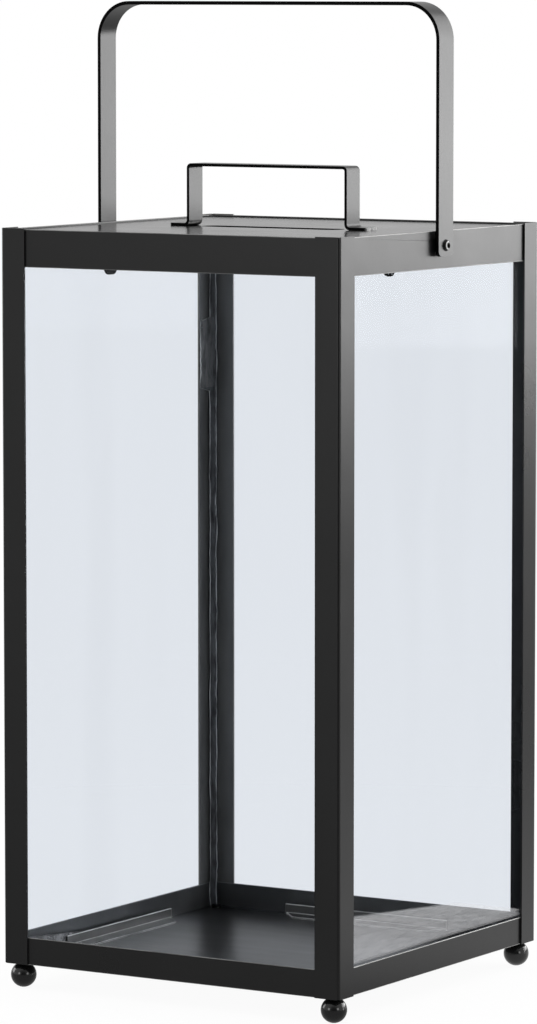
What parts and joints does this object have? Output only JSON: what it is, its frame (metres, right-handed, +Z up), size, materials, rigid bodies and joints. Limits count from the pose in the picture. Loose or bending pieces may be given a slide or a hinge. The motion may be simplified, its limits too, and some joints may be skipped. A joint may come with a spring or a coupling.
{
  "type": "candle lantern",
  "caption": "Tall square black steel candle lantern with glass sides, a lift-off slotted lid with a strap handle, ball feet and a swinging strap bail.",
  "frame": {"origin": "centre of the square plan, on the surface that the ball feet stand on", "axes": "+Z up, +X along the bail's pivot line, -Y the front face"},
  "size_m": [0.2498, 0.24, 0.6042],
  "materials": {
    "black_paint": "satin black powder coat",
    "gloss_black": "gloss black enamel",
    "pane_glass": "clear, polished",
    "sealant": "matt",
    "black_zinc": "black zinc plate"
  },
  "bodies": {
    "frame": {"post_front_left": "black_paint", "post_front_right": "black_paint", "post_rear_left": "black_paint", "post_rear_right": "black_paint", "top_rail_front": "black_paint", "top_rail_rear": "black_paint", "top_rail_left": "black_paint", "top_rail_right": "black_paint", "bottom_rail_front": "black_paint", "bottom_rail_rear": "black_paint", "bottom_rail_left": "black_paint", "bottom_rail_right": "black_paint", "base_plate": "black_paint", "pane_front": "pane_glass", "pane_rear": "pane_glass", "pane_left": "pane_glass", "pane_right": "pane_glass", "seal_front_left": "sealant", "seal_front_right": "sealant", "seal_rear_left": "sealant", "seal_rear_right": "sealant", "pane_strip_front": "black_paint", "pane_strip_rear": "black_paint", "pane_strip_left": "black_paint", "pane_strip_right": "black_paint", "pane_clip_front": "black_paint", "pane_clip_rear": "black_paint", "pane_clip_left": "black_paint", "pane_clip_right": "black_paint", "lid_seat_front_left": "black_paint", "lid_seat_front_right": "black_paint", "lid_seat_rear_left": "black_paint", "lid_seat_rear_right": "black_paint", "foot_front_left": "gloss_black", "foot_front_right": "gloss_black", "foot_rear_left": "gloss_black", "foot_rear_right": "gloss_black", "foot_screws": "black_zinc", "pivot_screw_left": "black_zinc", "pivot_screw_right": "black_zinc", "pivot_spacer_left": "black_zinc", "pivot_spacer_right": "black_zinc", "pivot_nut_left": "black_zinc", "pivot_nut_right": "black_zinc"},
    "lid": {"lid_plate": "black_paint", "lid_handle": "black_paint", "handle_rivets": "black_paint"},
    "bail": {"bail": "black_paint"}
  },
  "joints": [
    {"name": "bail_swing", "type": "hinge", "parent": "frame", "child": "bail", "pos_m": [0, 0, 0.458], "axis": [1, 0, 0], "range_deg": [-105, 105]},
    {"name": "lid_lift", "type": "slide", "parent": "frame", "child": "lid", "axis": [0, 0, 1], "range_m": [0, 0.07]}
  ]
}
